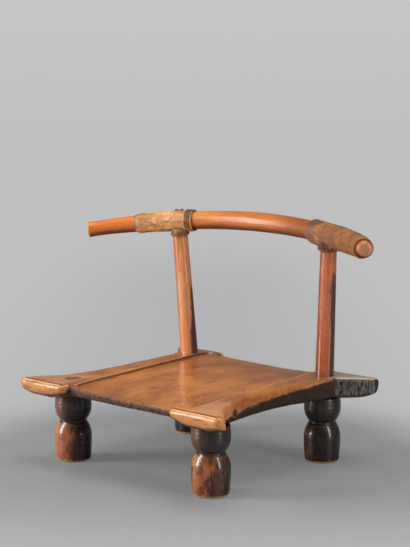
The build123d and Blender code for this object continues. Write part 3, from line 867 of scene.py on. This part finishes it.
def sleeve(name, outer_x, inner_x, rows, seam_angle, pucker_at, wrinkle, sag, material, node):
    """A sleeve of hide on the branch between two places along X, with its seam, its puckers and its slack."""
    tube = open_tube(name, rows)
    sections = {}
    for point in tube.data.vertices:
        share = round(point.co.z * rows) / rows
        if share not in sections:
            x = outer_x + (inner_x - outer_x) * share
            centre = branch_middle(x)
            way = branch_way(x)
            sidelong = Vector((0, 0, 1)).cross(way).normalized()
            sections[share] = centre, sidelong, way.cross(sidelong)
        centre, sidelong, up = sections[share]
        turn = angle_of(point.co)
        outward = sidelong * cos(turn) + up * sin(turn)
        skin = branch_skin(centre, outward)
        expected = branch_radius(centre.x)
        depth = (skin - centre).length if skin else expected
        place = centre + outward * (depth if abs(depth - expected) < skin_tolerance * expected else expected)
        lap = ((turn - seam_angle) % (2 * pi)) / (2 * pi)
        lift = seam_lap * max(1 - lap / seam_fade, 0.0)
        lift += end_curl * step(share, 0.95, 1.0) - end_tuck * step(share, 0.06, 0.0)
        away = (place - pucker_at).length
        fold = sin(turn * pucker_count + 3 * unevenness(place, 0.02)) * step(away, *pucker_reach)
        lift += pucker_depth * fold
        slack = step(outward.z, -0.25, -0.85) * step(away, *sag_reach)
        lift += sag * slack * (0.75 + 0.45 * sin(turn * 6 + 140 * place.x + 3 * unevenness(place, 0.015)))
        lift += wrinkle * (0.5 + 0.5 * unevenness(place + Vector((0, 0, place.x * 0.6)), 0.012, 4))
        lift += lump_depth * unevenness(place, 0.035)
        hug = end_hug + (1 - end_hug) * step(share, 0.0, 0.07)
        point.co = place + outward * (sleeve_clear + sleeve_wall + max(lift, 0.0)) * hug
    apply_modifier(tube, "hide_wall", "SOLIDIFY", thickness=sleeve_wall, offset=-1.0)
    apply_modifier(tube, "softened", "SUBSURF", levels=1, render_levels=1)
    edit_whole(tube, bpy.ops.mesh.normals_make_consistent, inside=False)
    finish_piece(tube, material, "rawhide", node)


def rawhide_skin(name, light, brown, dark, dark_places):
    """Hide colours: light where it is stretched, brown in its folds and dark along its edges."""
    material, tree, place = bare_material(name)
    creases = mottle(place, 110.0, detail=7.0, rough_share=0.75, stretch=(0.5, 0.8, 1.6))
    patches = mottle(place, 34.0, rough_share=0.65)
    fibres = mottle(place, 420.0, detail=3.0, stretch=(0.3, 1, 1))
    colour = blend(fade(patches, 0.36, 0.62), light, brown)
    colour = cover(colour, dark, fade(creases, 0.51, 0.62, 0.0, 0.7))
    colour = cover(colour, brown, fade(fibres, 0.50, 0.70, 0.0, 0.35))
    ragged = maths("MULTIPLY_ADD", maths("SUBTRACT", patches, 0.5), 0.02, 0.0)
    for point, radius in dark_places:
        near = fade(maths("ADD", gap_to(place, point), ragged), radius, radius * 0.72, 0.0, 0.75)
        colour = cover(colour, shade(84, 58, 40), near)
    # The hide's inside corners are painted darker: painted shade.
    corner_shade = use_group(tree, "Corner shade", {"Reach": 0.0022})["Mask"]
    colour = cover(colour, grime_and_shade_colour, corner_shade, 0.55)
    height = maths("ADD", product(creases, 1.4), product(fibres, 0.4))
    relief = put(tree, "Bump", {"Height": height, "Strength": 0.9, "Distance": 0.0014}).outputs[0]
    roughness = fade(patches, 0.3, 0.7, 0.34, 0.52)
    inputs = {"Base Color": colour, "Roughness": roughness, "Normal": relief}
    hide = put(tree, "BsdfPrincipled", {**inputs, "Coat Weight": 0.35, "Coat Roughness": 0.28})
    put(tree, "OutputMaterial", {"Surface": hide.outputs[0]})
    return material


left_head = Vector((-0.1775, 0.1340, 0.3990))
right_head = Vector((0.1775, 0.1340, 0.3955))
left_dark_places = (
    ((-0.150, 0.143, 0.405), 0.021),
    ((-0.254, 0.094, 0.392), 0.0215),
    ((-0.1765, 0.135, 0.377), 0.021),
)
right_dark_places = (((0.146, 0.152, 0.421), 0.032), ((0.1850, 0.128, 0.374), 0.026))
left_hide = rawhide_skin(
    "left_rawhide", shade(240, 184, 120), shade(196, 130, 70), shade(104, 62, 34), left_dark_places
)
right_hide = rawhide_skin(
    "right_rawhide", shade(172, 112, 58), shade(138, 84, 42), shade(92, 60, 36), right_dark_places
)
sleeve(
    "left_hide_sleeve", outer_x=-0.2530, inner_x=-0.1470, rows=80, seam_angle=radians(215),
    pucker_at=left_head, wrinkle=0.0010, sag=0.0, material=left_hide, node="left_sleeve",
)
sleeve(
    "right_hide_sleeve", outer_x=0.3150, inner_x=0.1340, rows=118, seam_angle=radians(250),
    pucker_at=right_head, wrinkle=0.0008, sag=0.004, material=right_hide, node="right_sleeve",
)


# ---- Rawhide skirts ----
# The lower edge of each sleeve, drawn in round the head of the post: a neat collar on the left post, and a
# loose gathered frill on the right one.
skirt_rows = 26
skirt_wall = 0.0013
skirt_lump = 0.0006
neck_share = 0.22              # how far up a skirt its thong draws it in
neck_depth = 0.0008
left_rise = 0.48               # a skirt's height, as a share of the way from its foot to the branch's middle
right_rise = 0.58


def skirt(name, top, foot, foot_radius, top_radius, folds, fold_depth, material, node):
    """A gathered tube of hide on a post's axis from its foot up into the sleeve."""
    tube = open_tube(name, skirt_rows)
    axis = (top - foot).normalized()
    sidelong = axis.cross(Vector((0, 1, 0))).normalized()
    other = axis.cross(sidelong)
    for point in tube.data.vertices:
        share = point.co.z
        turn = angle_of(point.co)
        outward = sidelong * cos(turn) + other * sin(turn)
        radius = foot_radius + (top_radius - foot_radius) * share
        centre = foot + (top - foot) * share
        gather = sin(folds * turn + 2.5 * unevenness(centre + outward * radius, 0.012))
        radius += fold_depth * (0.35 + 0.65 * share) * (0.5 + 0.5 * gather)
        radius += skirt_lump * (1 + unevenness(centre + outward * radius, 0.008))
        radius -= neck_depth * step(abs(share - neck_share), 0.10, 0.03)
        point.co = centre + outward * radius
    apply_modifier(tube, "hide_wall", "SOLIDIFY", thickness=skirt_wall, offset=-1.0)
    edit_whole(tube, bpy.ops.mesh.normals_make_consistent, inside=False)
    finish_piece(tube, material, "rawhide", node)


left_skirt_foot = Vector((-0.17582, 0.13519, 0.37208))
right_skirt_foot = Vector((0.17580, 0.13521, 0.36858))
left_skirt_top = left_skirt_foot.lerp(left_head, left_rise)
right_skirt_top = right_skirt_foot.lerp(right_head, right_rise)
skirt(
    "left_hide_skirt", left_skirt_top, left_skirt_foot, foot_radius=0.0154, top_radius=0.0160,
    folds=5, fold_depth=0.0006, material=left_hide, node="left_skirt",
)
skirt(
    "right_hide_skirt", right_skirt_top, right_skirt_foot, foot_radius=0.0157, top_radius=0.0192,
    folds=9, fold_depth=0.0022, material=right_hide, node="right_skirt",
)


# ---- Thongs ----
# Two strips of hide twisted together, wound and knotted while wet, now dark with handling.
# They close each skirt round its post, wrap the left sleeve's inner end and lace the right sleeve's seam.
strand_twist = 0.0075          # length of thong in which its two strands go round once
strand_groove = 0.26           # depth of the groove between them, as a share of the thong's radius
strand_thinning = 0.80         # a real strand's thickness as a share of the plain thong's
thong_sink = 0.0003            # how far the thinner thong is drawn in towards what it binds
thong_grid = 0.00036
knot_lump = 0.0004
knot_spacing = 0.0022
knot_clear = 0.0002            # the gap left between a drawn-in knot and the branch

thong_hide, tree, place = bare_material("thong_hide")
twist = mottle(place, 420.0, detail=3.0)
colour = blend(fade(twist, 0.35, 0.65), shade(112, 76, 48), shade(164, 116, 74))
# Between its strands and where it meets what it binds, the thong is painted darker: painted shade.
corner_shade = use_group(tree, "Corner shade", {"Reach": 0.0012})["Mask"]
colour = cover(colour, shade(44, 30, 20), corner_shade, 0.6)
relief = put(tree, "Bump", {"Height": twist, "Strength": 0.6, "Distance": 0.0005}).outputs[0]
strip = put(tree, "BsdfPrincipled", {"Base Color": colour, "Roughness": 0.55, "Normal": relief})
put(tree, "OutputMaterial", {"Surface": strip.outputs[0]})


def even_copy(node, name):
    """A node's thongs remeshed to a fine even grid, as one object for each loose piece."""
    whole = merged_copy(node, name)
    apply_modifier(whole, "even_grid", "REMESH", mode="VOXEL", voxel_size=thong_grid)
    edit_whole(whole, bpy.ops.mesh.separate, type="LOOSE")
    return list(bpy.context.selected_objects)


def join_up(pieces, name):
    """The pieces joined to one object of this name."""
    select_only(pieces[0])
    for piece in pieces:
        piece.select_set(True)
    if len(pieces) > 1:
        bpy.ops.object.join()
    pieces[0].name = name
    return pieces[0]


def twist_strands(piece, centre, axis):
    """Cuts the groove between two twisted strands round a turn of thong, which goes round an axis."""
    points = piece.data.vertices
    sidelong = axis.orthogonal().normalized()
    other = axis.cross(sidelong)
    girth = sum((p.co - centre - axis * (p.co - centre).dot(axis)).length for p in points) / len(points)
    level = sum((p.co - centre).dot(axis) for p in points) / len(points)
    grooves = round(4 * pi * girth / strand_twist)
    for point in points:
        arm = point.co - centre
        flat = arm - axis * arm.dot(axis)
        core = centre + axis * level + flat.normalized() * girth
        turn = atan2(flat.dot(other), flat.dot(sidelong))
        around = atan2(arm.dot(axis) - level, flat.length - girth)
        groove = (0.5 + 0.5 * cos(2 * around + grooves * turn)) ** 2
        core_drawn = core - flat.normalized() * thong_sink
        point.co = core_drawn + (point.co - core) * (strand_thinning - strand_groove * groove)


for node, foot, head in (
    ("left_neck_thong", left_skirt_foot, left_head),
    ("right_neck_thong", right_skirt_foot, right_head),
):
    rings = even_copy(node, f"{node}_ring")
    for ring in rings:
        twist_strands(ring, foot, (head - foot).normalized())
    finish_piece(join_up(rings, f"{node}_twisted"), thong_hide, "thong", node)

for node in ("left_thong_wrap", "right_seam_stitches"):
    turns = even_copy(node, f"{node}_turns")
    for wound in turns:
        x = sum(point.co.x for point in wound.data.vertices) / len(wound.data.vertices)
        twist_strands(wound, branch_middle(x), branch_way(x))
    finish_piece(join_up(turns, f"{node}_twisted"), thong_hide, "thong", node)

knots = even_copy("left_thong_knots", "knot_lumps")
for knot in knots:
    points = knot.data.vertices
    heart = sum((point.co for point in points), Vector()) / len(points)
    inward = branch_middle(heart.x) - heart
    clear = min((point.co - branch_middle(point.co.x)).length for point in points) - branch_radius(heart.x)
    drawn_in = inward.normalized() * (clear + knot_clear) if inward.z > 0 else Vector()
    for point in points:
        point.co += drawn_in + point.normal * knot_lump * unevenness(point.co, knot_spacing)
finish_piece(join_up(knots, "left_thong_knots_tied"), thong_hide, "thong", "left_thong_knots")
